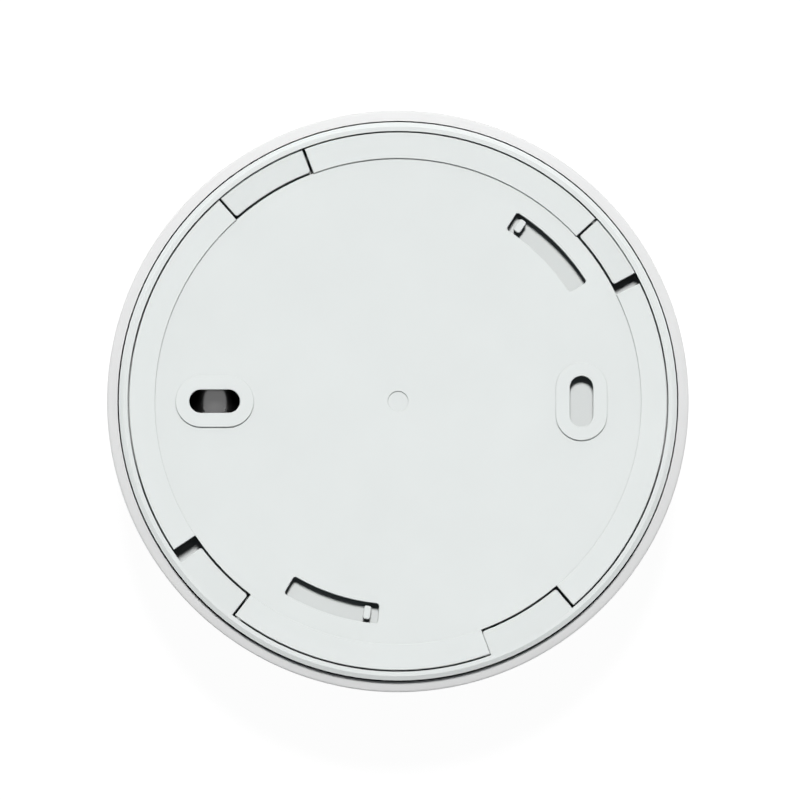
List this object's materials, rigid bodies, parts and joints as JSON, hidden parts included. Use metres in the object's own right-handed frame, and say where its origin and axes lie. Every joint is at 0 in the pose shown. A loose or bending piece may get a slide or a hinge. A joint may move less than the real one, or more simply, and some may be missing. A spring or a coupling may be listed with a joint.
{
  "type": "smoke detector",
  "caption": "Round ceiling smoke detector locked on its twist-on mounting bracket, with a side ring of smoke inlets and a central test button.",
  "frame": {"origin": "centre of the mounting bracket's ceiling face", "axes": "+Z out of the ceiling face, into the ceiling, so the detector hangs towards -Z; +X towards the screw slot that runs along Y"},
  "size_m": [0.1, 0.1, 0.0362],
  "materials": {
    "bracket_white": "fine moulded texture, off-white",
    "base_white": "fine moulded texture, off-white",
    "cover_white": "fine moulded texture, white",
    "button_white": "satin white",
    "black_plastic": "matt black",
    "grey_plastic": "satin grey",
    "sleeve_black": "glossy black shrink sleeve",
    "can_steel": "nickel-plated steel",
    "contact_steel": "nickel-plated spring steel",
    "board_green": "green solder mask",
    "chip_black": "moulded package",
    "chip_ceramic": "fired ceramic chips",
    "capacitor_sleeve": "dark blue sleeve",
    "inductor_ferrite": "ferrite",
    "screw_steel": "zinc-plated steel",
    "screen_steel": "etched stainless sheet",
    "led_clear": "clear epoxy",
    "pipe_clear": "clear acrylic",
    "piezo_brass": "brass sheet",
    "piezo_ceramic": "silvered ceramic",
    "gasket_foam": "closed-cell foam",
    "lead_copper": "tinned copper wire",
    "spring_steel": "music wire"
  },
  "bodies": {
    "bracket": {"mounting_bracket": "bracket_white"},
    "detector": {"base_housing": "base_white", "front_cover": "cover_white", "battery_can": "can_steel", "battery_sleeve": "sleeve_black", "battery_seal": "black_plastic", "battery_cap": "can_steel", "positive_contact": "contact_steel", "negative_contact": "contact_steel", "circuit_board": "board_green", "microcontroller": "chip_black", "sounder_driver": "chip_black", "boost_inductor": "inductor_ferrite", "storage_capacitor": "capacitor_sleeve", "chip_capacitors": "chip_ceramic", "chip_resistors": "chip_black", "board_screws": "screw_steel", "cover_screws": "screw_steel", "chamber_base": "black_plastic", "chamber_labyrinth": "black_plastic", "insect_screen": "screen_steel", "infrared_led": "led_clear", "photodiode": "chip_black", "photodiode_shield": "can_steel", "sounder_housing": "grey_plastic", "piezo_plate": "piezo_brass", "piezo_ceramic": "piezo_ceramic", "sounder_ring": "grey_plastic", "sounder_gasket": "gasket_foam", "sounder_leads": "lead_copper", "button_spring": "spring_steel", "switch_body": "chip_black", "status_led": "led_clear", "light_pipe": "pipe_clear"},
    "button": {"test_button": "button_white"},
    "plunger": {"switch_plunger": "grey_plastic"}
  },
  "joints": [
    {"name": "twist", "type": "hinge", "parent": "bracket", "child": "detector", "pos_m": [0, 0, 0], "axis": [0, 0, 1], "range_deg": [-21, 0]},
    {"name": "test_button_press", "type": "slide", "parent": "detector", "child": "button", "axis": [0, 0, 1], "range_m": [0, 0.001], "stiffness_N_per_m": 400, "springref_m": -0.001, "deforming": ["button_spring"]},
    {"name": "switch_plunger_press", "type": "slide", "parent": "detector", "child": "plunger", "axis": [0, 0, 1], "range_m": [0, 0.00025]}
  ],
  "couplings": [
    {"joint": "switch_plunger_press", "follows": "test_button_press", "ratio": 0.25}
  ]
}
